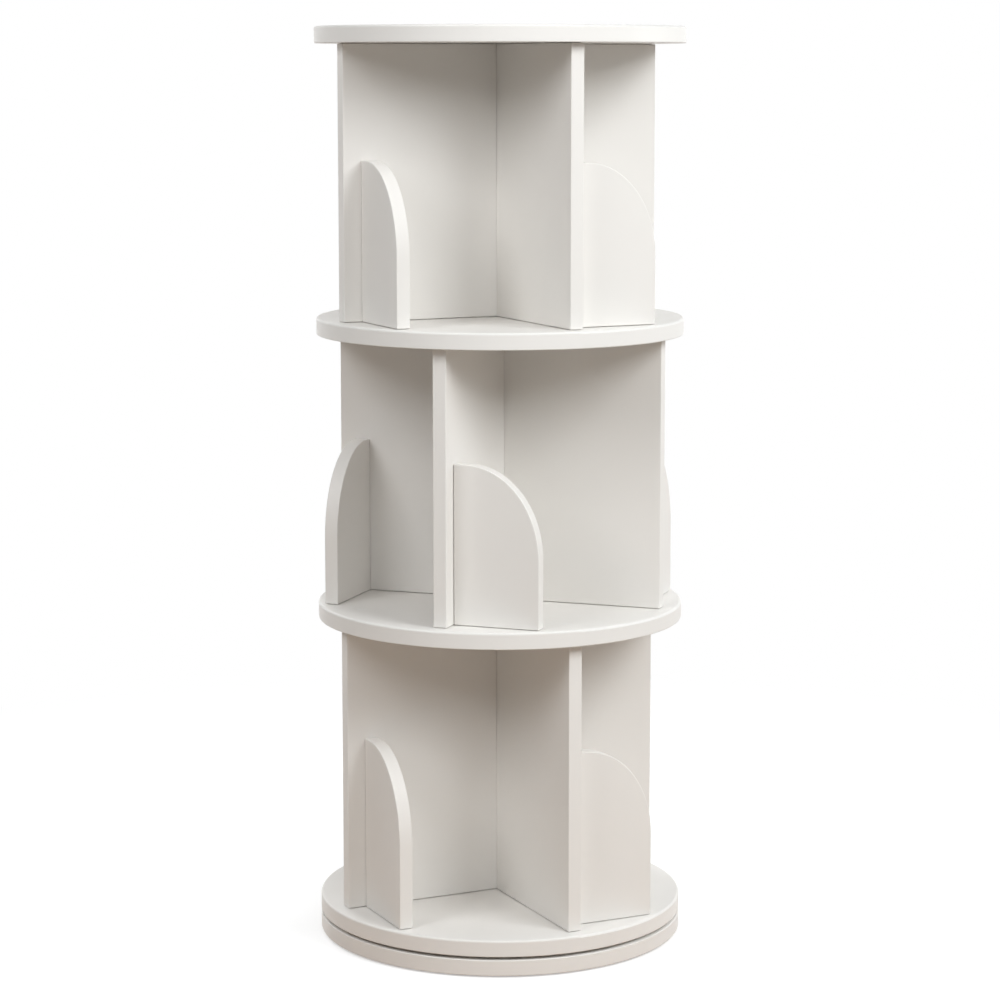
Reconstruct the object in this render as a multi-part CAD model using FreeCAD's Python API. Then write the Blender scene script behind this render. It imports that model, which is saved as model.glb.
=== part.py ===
import FreeCAD, Part
import math
import os

Vector = FreeCAD.Vector

# Revolving three-tier tower of round shelves, in millimetres and degrees.
# +Z is up, and the origin is the point on the floor below the middle of the tower.

# Round boards
disc_diameter = 400.0
disc_thickness = 18.0
base_thickness = 17.0
rim_rounding = 2.5
rim_arris = 1.0

# Tiers, from the floor of each to its ceiling
lower_clear_height = 312.0
middle_clear_height = 294.0
upper_clear_height = 294.0
middle_tier_turn_share = 0.5

# Upright boards: the crossed panels and the book fences on them
board_thickness = 15.0
board_arris = 1.0
joint_reveal = 0.6
joint_seat_inset = 3.0
panel_setback = 14.0
lap_clearance = 0.3
fence_inset = 20.0
fence_rim_margin = 5.0
fence_top_flat = 14.0
fence_curve_drop = 98.0
lower_fence_height = 189.0
middle_fence_height = 171.0
upper_fence_height = 171.0

# Fence dowels
dowel_diameter = 6.0
dowel_fence_depth = 10.0
dowel_back_wall = 4.5
dowel_end_room = 0.5
dowel_height_shares = (0.25, 0.75)

# Countersunk screws and the round covers over them
screw_diameter = 4.0
screw_head_diameter = 8.0
screw_point = 5.0
screw_sink = 0.5
board_screw_bite = 22.5
inner_screw_radius = 60.0
screw_end_distance = 21.0
cover_diameter = 12.0
cover_thickness = 1.2
recess_span_share = 0.55
recess_width_share = 0.14
recess_depth_share = 0.25

# Ball bearing between the base and the tower
swivel_gap = 3.5
ball_diameter = 5.0
ball_circle_diameter = 270.0
ball_count = 48
ball_clearance = 0.3
ring_height = 8.0
ring_width = 16.0
ring_running_room = 1.0
ring_chamfer = 0.6
cage_thickness = 1.2
cage_side_room = 0.5
cage_edge = 0.7
pocket_side_room = 1.5
ring_screw_count = 6
ring_screw_turn_share = 0.25
outer_ring_screw_bite = 8.5
inner_ring_screw_grip = 6.0

# Pads under the base
pad_diameter = 30.0
pad_thickness = 2.0
pad_rim_distance = 35.0
pad_count = 6

# Room round every screw, dowel and cover, and the overrun of every cut
hole_clearance = 0.1
overrun = 10.0

# Heights that follow from the stack of boards
base_top = pad_thickness + base_thickness
turntable_bottom = base_top + swivel_gap
lower_floor = turntable_bottom + disc_thickness
lower_ceiling = lower_floor + lower_clear_height
middle_floor = lower_ceiling + disc_thickness
middle_ceiling = middle_floor + middle_clear_height
upper_floor = middle_ceiling + disc_thickness
upper_ceiling = upper_floor + upper_clear_height

# Places in plan that follow from the disc
disc_radius = disc_diameter / 2
arm_length = disc_radius - panel_setback
fence_outer_face = arm_length - fence_inset
fence_middle = fence_outer_face - board_thickness / 2
fence_tip = math.sqrt((disc_radius - fence_rim_margin) ** 2 - fence_outer_face ** 2)
fence_width = fence_tip - board_thickness / 2
seat_thickness = board_thickness - 2 * joint_seat_inset

# Bearing sizes and places that follow from the ball circle and the rings
ball_circle_radius = ball_circle_diameter / 2
race_radius = ball_diameter / 2 + ball_clearance
cage_height = 2 * (race_radius + cage_edge)
ring_stack = ring_height + ring_running_room
pocket_floor = turntable_bottom - ring_stack
ball_level = pocket_floor + ring_stack / 2
inner_ring_face = ball_circle_radius - cage_thickness / 2 - cage_side_room
outer_ring_face = ball_circle_radius + cage_thickness / 2 + cage_side_room

# Fastener lengths that follow from the boards and rings they go through
board_screw_length = disc_thickness - screw_sink + board_screw_bite
outer_ring_screw_length = ring_height - screw_sink + outer_ring_screw_bite
inner_ring_screw_length = pocket_floor - pad_thickness - screw_sink + inner_ring_screw_grip
dowel_panel_depth = board_thickness - dowel_back_wall - dowel_end_room

full_turn = 360.0
half_turn = 180.0
quarter_turn = 90.0
arm_turns = (0.0, quarter_turn, half_turn, half_turn + quarter_turn)
middle_tier_turn = middle_tier_turn_share * quarter_turn

origin = Vector(0, 0, 0)
along_x = Vector(1, 0, 0)
along_y = Vector(0, 1, 0)
up = Vector(0, 0, 1)


def moved(shape, x=0, y=0, z=0):
    """Copy of a shape at another place."""
    copy = shape.copy()
    copy.translate(Vector(x, y, z))
    return copy


def turned(shape, angle, axis=up):
    """Copy of a shape turned about an axis through the origin."""
    copy = shape.copy()
    copy.rotate(origin, axis, angle)
    return copy


def on_arms(shapes, tier_turn):
    """Copies, on all four arms of a tier, of what stands on the arm along +X."""
    return [turned(shape, tier_turn + turn) for turn in arm_turns for shape in shapes]


def round_solid(outline):
    """Solid turned about the Z axis from an outline of (radius, height) corners."""
    corners = [Vector(radius, 0, height) for radius, height in outline]
    wire = Part.makePolygon(corners + corners[:1])
    return Part.Face(wire).revolve(origin, up, full_turn)


def save(name, shapes):
    """Write the solids of one named piece, or of one group of like pieces."""
    solids = [solid for shape in shapes for solid in shape.Solids]
    Part.makeCompound(solids).exportStep(f"parts/{name}.step")


def drive_recess():
    """Cross slot in a screw's head, whose face is at the origin."""
    span = screw_head_diameter * recess_span_share
    width = screw_head_diameter * recess_width_share
    depth = screw_head_diameter * recess_depth_share
    bar = Part.makeBox(span, width, depth, Vector(-span / 2, -width / 2, -depth))
    return bar.fuse(turned(bar, quarter_turn))


def screw(length, point):
    """Countersunk screw along -Z, with its head's face at the origin and a point of that length or none."""
    head_radius = screw_head_diameter / 2
    shank_radius = screw_diameter / 2
    end = [(shank_radius, point - length), (0, -length)]
    outline = [(0, 0), (head_radius, 0), (shank_radius, shank_radius - head_radius)] + end
    return round_solid(outline).cut(drive_recess())


def screw_hole(length):
    """Countersunk hole for a screw of that length, open above the head."""
    head_radius = screw_head_diameter / 2 + hole_clearance
    shank_radius = screw_diameter / 2 + hole_clearance
    outline = [
        (0, overrun),
        (head_radius, overrun),
        (head_radius, 0),
        (shank_radius, shank_radius - head_radius),
        (shank_radius, -length - hole_clearance),
        (0, -length - hole_clearance),
    ]
    return round_solid(outline)


def arm_screw_radii():
    """Distances from the axis at which each arm of a cross is screwed."""
    return (inner_screw_radius, arm_length - screw_end_distance)


def floor_screws(shape, floor, tier_turn):
    """Screws, or their holes, driven up through a floor disc into the cross on it."""
    head_level = floor - disc_thickness + screw_sink
    upright = turned(shape, half_turn, along_x)
    return on_arms([moved(upright, x=radius, z=head_level) for radius in arm_screw_radii()], tier_turn)


def ceiling_screws(shape, ceiling, tier_turn):
    """Screws, or their holes, driven down through a ceiling disc into the cross below."""
    head_level = ceiling + disc_thickness - cover_thickness - hole_clearance
    return on_arms([moved(shape, x=radius, z=head_level) for radius in arm_screw_radii()], tier_turn)


def covers(ceiling, tier_turn):
    """Flush covers over the screws in the top face of a ceiling disc."""
    cover = Part.makeCylinder(cover_diameter / 2, cover_thickness)
    level = ceiling + disc_thickness - cover_thickness
    return on_arms([moved(cover, x=radius, z=level) for radius in arm_screw_radii()], tier_turn)


def cover_seats(ceiling, tier_turn):
    """Shallow round seats of the covers."""
    seat = Part.makeCylinder(cover_diameter / 2 + hole_clearance, cover_thickness + overrun)
    level = ceiling + disc_thickness - cover_thickness
    return on_arms([moved(seat, x=radius, z=level) for radius in arm_screw_radii()], tier_turn)


def fence_screws(shape, floor, tier_turn):
    """Screws, or their holes, driven up through a floor disc into the feet of the fences."""
    head_level = floor - disc_thickness + screw_sink
    upright = turned(shape, half_turn, along_x)
    reach = board_thickness / 2 + fence_width / 2
    return on_arms([moved(upright, x=fence_middle, y=reach, z=head_level)], tier_turn)


def fence_dowels(side_room, end_room, fence_height, floor, tier_turn):
    """Dowels, or their holes with room round and beyond them, across the joints of fences and panels."""
    length = dowel_panel_depth + dowel_fence_depth + 2 * end_room
    start = Vector(fence_middle, board_thickness / 2 - dowel_panel_depth - end_room, 0)
    dowel = Part.makeCylinder(dowel_diameter / 2 + side_room, length, start, along_y)
    levels = [floor + share * fence_height for share in dowel_height_shares]
    return on_arms([moved(dowel, z=level) for level in levels], tier_turn)


def round_board(bottom, thickness, upper_rounding):
    """Round board with its upper rim rounded and its lower rim just eased."""
    board = Part.makeCylinder(disc_radius, thickness, Vector(0, 0, bottom))
    lower_rim = min(board.Edges, key=lambda edge: edge.BoundBox.ZMax)
    board = board.makeFillet(rim_arris, [lower_rim])
    upper_rim = max(board.Edges, key=lambda edge: edge.BoundBox.ZMin)
    return board.makeFillet(upper_rounding, [upper_rim])


def cross_panel(floor, height, turn, slot_from_top):
    """Upright board through the axis, slotted to half its height for the other one."""
    corner = Vector(-arm_length, -board_thickness / 2, joint_reveal)
    board = Part.makeBox(2 * arm_length, board_thickness, height - 2 * joint_reveal, corner)
    board = board.makeFillet(board_arris, board.Edges)
    seat_length = 2 * (arm_length - joint_seat_inset)
    seat = Part.makeBox(seat_length, seat_thickness, height, Vector(-seat_length / 2, -seat_thickness / 2, 0))
    board = board.fuse(seat)
    width = board_thickness + 2 * lap_clearance
    bottom = height / 2 - lap_clearance if slot_from_top else -overrun
    depth = height / 2 + lap_clearance + overrun
    slot = Part.makeBox(width, width, depth, Vector(-width / 2, -width / 2, bottom))
    return moved(turned(board.cut(slot), turn), z=floor)


def fence_curve(fence_height):
    """Quarter ellipse from the flat of a fence's top down to its outer edge."""
    start = Vector(0, fence_top_flat, fence_height)
    crown = Vector(0, fence_width, fence_height)
    end = Vector(0, fence_width, fence_height - fence_curve_drop)
    curve = Part.BezierCurve()
    curve.setPoles([start, crown, end])
    curve.setWeight(2, math.sqrt(1 / 2))
    return curve.toShape()


def fence(floor, fence_height, turn):
    """Book fence across an arm, on the arm's counterclockwise face seen from above."""
    foot = Vector(0, fence_width, joint_reveal)
    root = Vector(0, joint_reveal, joint_reveal)
    root_top = Vector(0, joint_reveal, fence_height)
    curve = fence_curve(fence_height)
    straight = Part.makePolygon([curve.lastVertex().Point, foot, root, root_top, curve.firstVertex().Point])
    outline = Part.Wire([curve] + straight.Edges)
    plate = Part.Face(outline).extrude(along_x * board_thickness)
    plate = plate.makeFillet(board_arris, plate.Edges)
    inset = joint_seat_inset
    foot_seat = Part.makeBox(seat_thickness, fence_width - 2 * inset, 2 * inset, Vector(inset, inset, 0))
    root_seat = Part.makeBox(seat_thickness, 2 * inset, fence_height - 2 * inset, Vector(inset, 0, inset))
    plate = plate.fuse([foot_seat, root_seat])
    seated = moved(plate, x=fence_outer_face - board_thickness, y=board_thickness / 2, z=floor)
    return turned(seated, turn)


def tier(name, floor, clear_height, tier_turn, fence_height):
    """Crossed panels, fences and fasteners of one tier; returns the holes in its floor and ceiling."""
    ceiling = floor + clear_height
    board_screw = screw(board_screw_length, screw_point)
    board_hole = screw_hole(board_screw_length)
    save(f"{name}_floor_screws", floor_screws(board_screw, floor, tier_turn))
    save(f"{name}_ceiling_screws", ceiling_screws(board_screw, ceiling, tier_turn))
    save(f"{name}_fence_screws", fence_screws(board_screw, floor, tier_turn))
    save(f"{name}_screw_covers", covers(ceiling, tier_turn))
    save(f"{name}_fence_dowels", fence_dowels(0, 0, fence_height, floor, tier_turn))

    floor_holes = floor_screws(board_hole, floor, tier_turn)
    ceiling_holes = ceiling_screws(board_hole, ceiling, tier_turn)
    foot_holes = fence_screws(board_hole, floor, tier_turn)
    dowel_holes = fence_dowels(hole_clearance, dowel_end_room, fence_height, floor, tier_turn)

    for number, slot_from_top in ((1, True), (2, False)):
        panel = cross_panel(floor, clear_height, tier_turn + quarter_turn * (number - 1), slot_from_top)
        save(f"{name}_cross_panel_{number}", [panel.cut(floor_holes + ceiling_holes + dowel_holes)])
    for number, turn in enumerate(arm_turns, start=1):
        board = fence(floor, fence_height, tier_turn + turn)
        save(f"{name}_fence_{number}", [board.cut(foot_holes + dowel_holes)])
    return floor_holes + foot_holes, ceiling_holes + cover_seats(ceiling, tier_turn)


def ring_screws(shape, radius, level):
    """Screws, or their holes, in a circle round one ring of the bearing."""
    step = full_turn / ring_screw_count
    upright = moved(turned(shape, half_turn, along_x), x=radius, z=level)
    first = ring_screw_turn_share * step
    return [turned(upright, first + step * number) for number in range(ring_screw_count)]


def bearing_ring(inner_radius, bottom):
    """Aluminium ring with eased edges, before the ball race is turned in it."""
    ring = Part.makeCylinder(inner_radius + ring_width, ring_height, Vector(0, 0, bottom))
    bore = Part.makeCylinder(inner_radius, ring_height + 2 * overrun, Vector(0, 0, bottom - overrun))
    ring = ring.cut(bore)
    edges = [edge for edge in ring.Edges if isinstance(edge.Curve, Part.Circle)]
    race = Part.makeTorus(ball_circle_radius, race_radius, Vector(0, 0, ball_level))
    return ring.makeChamfer(ring_chamfer, edges).cut(race)


def on_ball_circle(shape):
    """Copies, at every ball's place, of what stands at the place on +X."""
    return [turned(shape, full_turn * number / ball_count) for number in range(ball_count)]


def balls():
    """Steel balls between the two rings."""
    ball = Part.makeSphere(ball_diameter / 2, Vector(ball_circle_radius, 0, ball_level))
    return on_ball_circle(ball)


def ball_cage():
    """Thin band that keeps the balls apart, with a window for each."""
    bottom = Vector(0, 0, ball_level - cage_height / 2)
    band = Part.makeCylinder(ball_circle_radius + cage_thickness / 2, cage_height, bottom)
    band = band.cut(Part.makeCylinder(ball_circle_radius - cage_thickness / 2, cage_height, bottom))
    start = Vector(ball_circle_radius - cage_thickness, 0, ball_level)
    window = Part.makeCylinder(race_radius, 2 * cage_thickness, start, along_x)
    return band.cut(on_ball_circle(window))


def bearing():
    """Both rings, their screws, the balls and the cage; returns the holes in base and turntable."""
    inner_bore = inner_ring_face - ring_width
    inner_middle = inner_bore + ring_width / 2
    outer_middle = outer_ring_face + ring_width / 2
    outer_bottom = turntable_bottom - ring_height
    inner_level = pad_thickness + screw_sink
    outer_level = outer_bottom + screw_sink

    inner_screws = ring_screws(screw(inner_ring_screw_length, 0), inner_middle, inner_level)
    outer_screws = ring_screws(screw(outer_ring_screw_length, screw_point), outer_middle, outer_level)
    inner_holes = ring_screws(screw_hole(inner_ring_screw_length), inner_middle, inner_level)
    outer_holes = ring_screws(screw_hole(outer_ring_screw_length), outer_middle, outer_level)
    save("inner_ring_screws", inner_screws)
    save("outer_ring_screws", outer_screws)
    save("bearing_inner_ring", [bearing_ring(inner_bore, pocket_floor).cut(inner_holes)])
    save("bearing_outer_ring", [bearing_ring(outer_ring_face, outer_bottom).cut(outer_holes)])
    save("bearing_balls", balls())
    save("bearing_cage", [ball_cage()])
    return inner_holes, outer_holes


def base_disc(screw_holes):
    """Round base board with the bearing's pocket in its top."""
    pocket_radius = outer_ring_face + ring_width + pocket_side_room
    pocket = Part.makeCylinder(pocket_radius, ring_stack + overrun, Vector(0, 0, pocket_floor))
    return round_board(pad_thickness, base_thickness, rim_arris).cut([pocket] + screw_holes)


def foot_pads():
    """Soft pads stuck in a circle under the base."""
    pad = Part.makeCylinder(pad_diameter / 2, pad_thickness, Vector(disc_radius - pad_rim_distance, 0, 0))
    return [turned(pad, full_turn * number / pad_count) for number in range(pad_count)]


def tower_disc(name, bottom, holes):
    """Round board of the tower, bored for the screws of what it joins."""
    save(name, [round_board(bottom, disc_thickness, rim_rounding).cut(holes)])


os.makedirs("parts", exist_ok=True)

base_holes, turntable_holes = bearing()
lower_floor_holes, lower_ceiling_holes = tier("lower", lower_floor, lower_clear_height, 0, lower_fence_height)
middle_floor_holes, middle_ceiling_holes = tier(
    "middle", middle_floor, middle_clear_height, middle_tier_turn, middle_fence_height
)
upper_floor_holes, upper_ceiling_holes = tier("upper", upper_floor, upper_clear_height, 0, upper_fence_height)

save("foot_pads", foot_pads())
save("base_disc", [base_disc(base_holes)])
tower_disc("turntable_disc", turntable_bottom, turntable_holes + lower_floor_holes)
tower_disc("lower_shelf", lower_ceiling, lower_ceiling_holes + middle_floor_holes)
tower_disc("upper_shelf", middle_ceiling, middle_ceiling_holes + upper_floor_holes)
tower_disc("top_disc", upper_ceiling, upper_ceiling_holes)
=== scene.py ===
import math

import bpy
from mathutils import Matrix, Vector

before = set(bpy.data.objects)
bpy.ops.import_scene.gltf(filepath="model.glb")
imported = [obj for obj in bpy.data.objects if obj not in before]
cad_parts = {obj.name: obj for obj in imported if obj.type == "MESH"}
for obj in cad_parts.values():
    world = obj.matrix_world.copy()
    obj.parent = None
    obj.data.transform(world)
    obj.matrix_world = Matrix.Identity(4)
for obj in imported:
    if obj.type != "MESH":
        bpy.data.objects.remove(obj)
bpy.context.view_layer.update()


# Foot pads: round pads of black EVA foam, die-cut from sheet and stuck under the base.
# The foam has a fine closed-cell skin, matt and a little uneven.
foam_tones = ((0.012, 0.012, 0.013), (0.03, 0.03, 0.031))
foam_cells_per_metre = 1400.0
foam_cell_depth = 0.00012
foam_roughness = 0.85
foam_shine = 0.3


def new_finish(name):
    """An empty node finish; gives the material, its nodes, its links and its main shader."""
    material = bpy.data.materials.new(name)
    material.use_nodes = True
    nodes = material.node_tree.nodes
    return material, nodes, material.node_tree.links, nodes["Principled BSDF"]


def grain(nodes, links, per_metre, detail, stretch=(1.0, 1.0, 1.0)):
    """Noise on the piece's own coordinates, with so many grains to the metre."""
    place = nodes.new("ShaderNodeTexCoord")
    mapping = nodes.new("ShaderNodeMapping")
    mapping.inputs["Scale"].default_value = stretch
    noise = nodes.new("ShaderNodeTexNoise")
    noise.inputs["Scale"].default_value = per_metre
    noise.inputs["Detail"].default_value = detail
    links.new(place.outputs["Object"], mapping.inputs["Vector"])
    links.new(mapping.outputs["Vector"], noise.inputs["Vector"])
    return noise.outputs["Fac"]


def between(nodes, links, factor, tones):
    """Colour that drifts from the first tone to the second with a factor."""
    mix = nodes.new("ShaderNodeMix")
    mix.data_type = "RGBA"
    mix.inputs["A"].default_value = (*tones[0], 1.0)
    mix.inputs["B"].default_value = (*tones[1], 1.0)
    links.new(factor, mix.inputs["Factor"])
    return mix.outputs["Result"]


def ranged(nodes, links, factor, limits):
    """Number that runs between two limits over the middle of a noise's range."""
    span = nodes.new("ShaderNodeMapRange")
    span.inputs["From Min"].default_value = 0.3
    span.inputs["From Max"].default_value = 0.7
    span.inputs["To Min"].default_value = limits[0]
    span.inputs["To Max"].default_value = limits[1]
    links.new(factor, span.inputs["Value"])
    return span.outputs["Result"]


def raise_grain(nodes, links, shader, factor, depth):
    """Bump of that depth in metres on a shader."""
    bump = nodes.new("ShaderNodeBump")
    bump.inputs["Strength"].default_value = 1.0
    bump.inputs["Distance"].default_value = depth
    links.new(factor, bump.inputs["Height"])
    links.new(bump.outputs["Normal"], shader.inputs["Normal"])


def dress(material, *names):
    """Puts a finish on CAD nodes."""
    for name in names:
        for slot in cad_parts[name].material_slots:
            slot.material = material


pad_foam, nodes, links, shader = new_finish("black_eva_foam")
cells = grain(nodes, links, foam_cells_per_metre, detail=2.0)
links.new(between(nodes, links, cells, foam_tones), shader.inputs["Base Color"])
shader.inputs["Roughness"].default_value = foam_roughness
shader.inputs["Specular IOR Level"].default_value = foam_shine
raise_grain(nodes, links, shader, cells, foam_cell_depth)
dress(pad_foam, "foot_pads")


# Round boards: base, turntable, two shelves and top, cut from fibreboard, with eased rims.
# All are sprayed with a warm white satin lacquer, which leaves a faint orange peel.
disc_tones = ((0.80, 0.782, 0.752), (0.785, 0.766, 0.734))
disc_roughness = (0.38, 0.48)
lacquer_drift_per_metre = 5.0
lacquer_patches_per_metre = 28.0
lacquer_peel_per_metre = 420.0
lacquer_peel_depth = 0.00002
lacquer_shine = 0.4


def white_lacquer(name, tones, roughness):
    """Sprayed satin lacquer: a slow drift of tone, patches of gloss and fine orange peel."""
    lacquer, nodes, links, shader = new_finish(name)
    drift = grain(nodes, links, lacquer_drift_per_metre, detail=3.0)
    links.new(between(nodes, links, drift, tones), shader.inputs["Base Color"])
    patches = grain(nodes, links, lacquer_patches_per_metre, detail=3.0)
    links.new(ranged(nodes, links, patches, roughness), shader.inputs["Roughness"])
    shader.inputs["Specular IOR Level"].default_value = lacquer_shine
    peel = grain(nodes, links, lacquer_peel_per_metre, detail=2.0)
    raise_grain(nodes, links, shader, peel, lacquer_peel_depth)
    return lacquer


disc_lacquer = white_lacquer("disc_white_lacquer", disc_tones, disc_roughness)
dress(disc_lacquer, "base_disc", "turntable_disc", "lower_shelf", "upper_shelf", "top_disc")


# Bearing rings: extruded aluminium strip rolled into two rings, with the race turned in.
# The turning leaves fine rings round the axis; one ring is screwed to each board.
ring_tones = ((0.60, 0.60, 0.61), (0.70, 0.70, 0.71))
ring_roughness = (0.28, 0.42)
turning_per_metre = 30.0
turning_stretch = (4.0, 4.0, 120.0)
turning_depth = 0.00001
ring_metal, nodes, links, shader = new_finish("turned_aluminium")
lines = grain(nodes, links, turning_per_metre, detail=2.0, stretch=turning_stretch)
links.new(between(nodes, links, lines, ring_tones), shader.inputs["Base Color"])
links.new(ranged(nodes, links, lines, ring_roughness), shader.inputs["Roughness"])
shader.inputs["Metallic"].default_value = 1.0
raise_grain(nodes, links, shader, lines, turning_depth)
dress(ring_metal, "bearing_inner_ring", "bearing_outer_ring")


# Balls and cage: polished steel balls run in a band of natural nylon, moulded with a window
# for each; a smear of clear grease dulls the balls here and there.
ball_tones = ((0.62, 0.62, 0.63), (0.52, 0.52, 0.51))
ball_roughness = (0.08, 0.3)
smears_per_metre = 260.0
ball_steel, nodes, links, shader = new_finish("greased_ball_steel")
smear = grain(nodes, links, smears_per_metre, detail=3.0)
links.new(between(nodes, links, smear, ball_tones), shader.inputs["Base Color"])
links.new(ranged(nodes, links, smear, ball_roughness), shader.inputs["Roughness"])
shader.inputs["Metallic"].default_value = 1.0
dress(ball_steel, "bearing_balls")

nylon_tones = ((0.68, 0.66, 0.58), (0.60, 0.58, 0.50))
nylon_roughness = 0.45
nylon_clouds_per_metre = 90.0
nylon_cloud_depth = 0.00003
cage_nylon, nodes, links, shader = new_finish("natural_nylon")
clouds = grain(nodes, links, nylon_clouds_per_metre, detail=3.0)
links.new(between(nodes, links, clouds, nylon_tones), shader.inputs["Base Color"])
shader.inputs["Roughness"].default_value = nylon_roughness
raise_grain(nodes, links, shader, clouds, nylon_cloud_depth)
dress(cage_nylon, "bearing_cage")


# Screws: countersunk steel with a cross recess, zinc plated, in the rings, boards and fences.
# The plating is a blue-grey with cloudy patches.
zinc_tones = ((0.58, 0.59, 0.61), (0.44, 0.45, 0.46))
zinc_roughness = (0.25, 0.45)
zinc_patches_per_metre = 350.0
tiers = ("lower", "middle", "upper")
screw_zinc, nodes, links, shader = new_finish("zinc_plated_steel")
patina = grain(nodes, links, zinc_patches_per_metre, detail=4.0)
links.new(between(nodes, links, patina, zinc_tones), shader.inputs["Base Color"])
links.new(ranged(nodes, links, patina, zinc_roughness), shader.inputs["Roughness"])
shader.inputs["Metallic"].default_value = 1.0
dress(screw_zinc, "inner_ring_screws", "outer_ring_screws")
for tier in tiers:
    dress(screw_zinc, f"{tier}_floor_screws", f"{tier}_ceiling_screws", f"{tier}_fence_screws")


# Crossed panels: two full-width boards to a tier, half-lapped at the axis and screwed to the
# discs above and below. The same white lacquer, sprayed on the flat with eased edges.
panel_tones = ((0.79, 0.768, 0.735), (0.774, 0.751, 0.716))
panel_roughness = (0.42, 0.52)
panel_lacquer = white_lacquer("panel_white_lacquer", panel_tones, panel_roughness)
for tier in tiers:
    dress(panel_lacquer, f"{tier}_cross_panel_1", f"{tier}_cross_panel_2")


# Fences: a quarter-round board on each arm that keeps the load of the bay from sliding out,
# dowelled to the panel and screwed from below. Routed outline, lacquered like the panels.
fence_roughness = (0.40, 0.50)
fence_numbers = (1, 2, 3, 4)
fence_lacquer = white_lacquer("fence_white_lacquer", panel_tones, fence_roughness)
for tier in tiers:
    dress(fence_lacquer, *(f"{tier}_fence_{number}" for number in fence_numbers))


# Fence dowels: round beech pegs, glued across the joint of fence and panel.
# Plain pale wood with a short grain.
beech_tones = ((0.56, 0.38, 0.22), (0.42, 0.27, 0.15))
beech_roughness = 0.7
beech_fibres_per_metre = 220.0
beech_fibre_stretch = (1.0, 1.0, 0.2)
beech_fibre_depth = 0.00005
dowel_beech, nodes, links, shader = new_finish("plain_beech")
fibres = grain(nodes, links, beech_fibres_per_metre, detail=4.0, stretch=beech_fibre_stretch)
links.new(between(nodes, links, fibres, beech_tones), shader.inputs["Base Color"])
shader.inputs["Roughness"].default_value = beech_roughness
raise_grain(nodes, links, shader, fibres, beech_fibre_depth)
for tier in tiers:
    dress(dowel_beech, f"{tier}_fence_dowels")


# Screw covers: thin white plastic discs pressed flush over the screws in the upper faces.
# Moulded plastic, a touch smoother than the lacquer round it.
cover_tones = ((0.80, 0.785, 0.76), (0.78, 0.765, 0.74))
cover_roughness = 0.35
cover_grains_per_metre = 700.0
cover_grain_depth = 0.00001
cover_plastic, nodes, links, shader = new_finish("white_cover_plastic")
mould = grain(nodes, links, cover_grains_per_metre, detail=2.0)
links.new(between(nodes, links, mould, cover_tones), shader.inputs["Base Color"])
shader.inputs["Roughness"].default_value = cover_roughness
raise_grain(nodes, links, shader, mould, cover_grain_depth)
for tier in tiers:
    dress(cover_plastic, f"{tier}_screw_covers")


# Camera: stands where the photograph was taken from, level with the top of the upper tier and to
# the left of the front arms, and looks slightly down.
camera_azimuth = math.radians(-25.26)
camera_distance = 3.088
camera_height = 0.955
camera_pitch = math.radians(8.15)
camera_sensor = 36.0
camera_lens = 102.2
camera_shift = -0.03
camera_data = bpy.data.cameras.new("photo_view")
camera_data.sensor_width = camera_sensor
camera_data.lens = camera_lens
camera_data.shift_y = camera_shift
camera = bpy.data.objects.new("photo_view", camera_data)
camera.location = (
    math.sin(camera_azimuth) * camera_distance,
    -math.cos(camera_azimuth) * camera_distance,
    camera_height,
)
camera.rotation_euler = (math.pi / 2 - camera_pitch, 0.0, camera_azimuth)
bpy.context.scene.collection.objects.link(camera)
bpy.context.scene.camera = camera
bpy.context.scene.view_settings.view_transform = "Standard"


# Floor: a wide pale sheet under the tower. It keeps the tower's shadow near the base, throws a warm
# light back up at it, and runs out into plain white, so that no horizon shows.
floor_size = 40.0
floor_tones = ((0.62, 0.62, 0.62), (0.64, 0.64, 0.64))
floor_bounce_tones = ((0.47, 0.34, 0.245), (0.37, 0.335, 0.30))
floor_drift_per_metre = 3.0
floor_roughness = 0.9
floor_shine = 0.1
shadow_reach = 0.45
white_reach = 1.3
shadow_lift = 0.46


def seen_directly(nodes, links):
    """1 for what the camera sees, straight, mirrored or through something clear, and else 0."""
    ray = nodes.new("ShaderNodeLightPath")
    kinds = ("Is Camera Ray", "Is Glossy Ray", "Is Transmission Ray")
    seen = ray.outputs[kinds[0]]
    for kind in kinds[1:]:
        either = nodes.new("ShaderNodeMath")
        either.operation = "MAXIMUM"
        links.new(seen, either.inputs[0])
        links.new(ray.outputs[kind], either.inputs[1])
        seen = either.outputs[0]
    return seen


bpy.ops.object.select_all(action="DESELECT")
bpy.ops.mesh.primitive_plane_add(size=floor_size, location=(0.0, 0.0, 0.0))
floor = bpy.context.object
floor.name = "studio_floor"
floor_paper, nodes, links, shader = new_finish("pale_floor_paper")
place = nodes.new("ShaderNodeTexCoord")
reach = nodes.new("ShaderNodeVectorMath")
reach.operation = "LENGTH"
links.new(place.outputs["Object"], reach.inputs[0])
fade = nodes.new("ShaderNodeMapRange")
fade.interpolation_type = "SMOOTHSTEP"
fade.inputs["From Min"].default_value = shadow_reach
fade.inputs["From Max"].default_value = white_reach
links.new(reach.outputs["Value"], fade.inputs["Value"])
drift = grain(nodes, links, floor_drift_per_metre, detail=2.0)
pale = between(nodes, links, drift, floor_tones)
bounce = between(nodes, links, fade.outputs["Result"], floor_bounce_tones)
shader.inputs["Roughness"].default_value = floor_roughness
shader.inputs["Specular IOR Level"].default_value = floor_shine
shader.inputs["Emission Color"].default_value = (1.0, 1.0, 1.0, 1.0)
seen = seen_directly(nodes, links)
shown = nodes.new("ShaderNodeMix")
shown.data_type = "RGBA"
links.new(seen, shown.inputs["Factor"])
links.new(bounce, shown.inputs["A"])
links.new(pale, shown.inputs["B"])
links.new(shown.outputs["Result"], shader.inputs["Base Color"])
lift = nodes.new("ShaderNodeMath")
lift.operation = "MULTIPLY"
lift.inputs[1].default_value = shadow_lift
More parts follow.
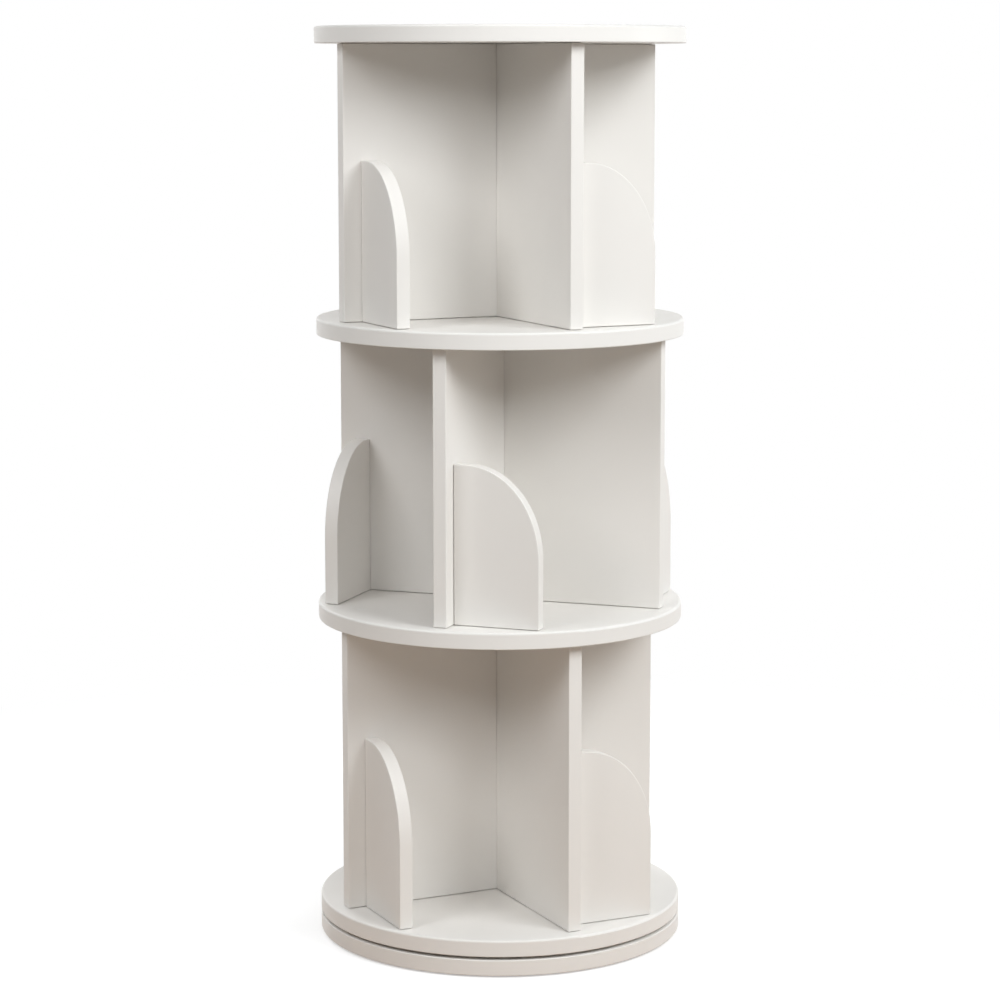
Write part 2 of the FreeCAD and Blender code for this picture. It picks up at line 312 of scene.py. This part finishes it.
links.new(seen, lift.inputs[0])
links.new(lift.outputs[0], shader.inputs["Emission Strength"])
whiteness = nodes.new("ShaderNodeMath")
whiteness.operation = "MULTIPLY"
links.new(fade.outputs["Result"], whiteness.inputs[0])
links.new(seen, whiteness.inputs[1])
white = nodes.new("ShaderNodeEmission")
mix = nodes.new("ShaderNodeMixShader")
links.new(whiteness.outputs[0], mix.inputs["Fac"])
links.new(shader.outputs["BSDF"], mix.inputs[1])
links.new(white.outputs["Emission"], mix.inputs[2])
links.new(mix.outputs["Shader"], nodes["Material Output"].inputs["Surface"])
floor.data.materials.append(floor_paper)


# Light: a white studio with a large soft light high on the right of the camera, weaker ones in
# front, on the left and far right, and two low ones behind that keep the back pale. The room
# itself shows as plain white.
room_glow = 0.05
room_white = 1.0
lamp_reach = 2.6
lamp_size = 1.4
lamp_aim = Vector((0.0, 0.0, 0.65))
key_white = (0.95, 0.98, 1.0)
fill_white = (0.97, 0.985, 1.0)
side_white = (0.93, 0.97, 1.0)


def soft_lamp(name, bearing, height, power, colour, in_gloss=True):
    """Square soft light, so many degrees to the right of the camera, mirrored in the lacquer or not."""
    angle = camera_azimuth + math.radians(bearing)
    place = Vector((math.sin(angle) * lamp_reach, -math.cos(angle) * lamp_reach, height))
    data = bpy.data.lights.new(name, "AREA")
    data.size = lamp_size
    data.energy = power
    data.color = colour
    lamp = bpy.data.objects.new(name, data)
    lamp.location = place
    lamp.rotation_euler = (lamp_aim - place).to_track_quat("-Z", "Y").to_euler()
    lamp.visible_camera = False
    lamp.visible_glossy = in_gloss
    bpy.context.scene.collection.objects.link(lamp)


world = bpy.data.worlds.new("white_studio")
bpy.context.scene.world = world
world.use_nodes = True
nodes = world.node_tree.nodes
links = world.node_tree.links
room = nodes["Background"]
room.inputs["Color"].default_value = (1.0, 1.0, 1.0, 1.0)
level = nodes.new("ShaderNodeMapRange")
level.inputs["To Min"].default_value = room_glow
level.inputs["To Max"].default_value = room_white
links.new(seen_directly(nodes, links), level.inputs["Value"])
links.new(level.outputs["Result"], room.inputs["Strength"])

soft_lamp("key_right", bearing=50.0, height=2.2, power=66.0, colour=key_white, in_gloss=False)
soft_lamp("front", bearing=10.0, height=2.2, power=24.0, colour=fill_white)
soft_lamp("fill_left", bearing=-45.0, height=2.4, power=39.0, colour=fill_white)
soft_lamp("high_left", bearing=-90.0, height=2.4, power=7.0, colour=fill_white)
soft_lamp("side_right", bearing=100.0, height=1.4, power=15.0, colour=side_white)
soft_lamp("back_left", bearing=-150.0, height=1.0, power=52.0, colour=fill_white, in_gloss=False)
soft_lamp("back_right", bearing=150.0, height=1.0, power=30.0, colour=fill_white, in_gloss=False)
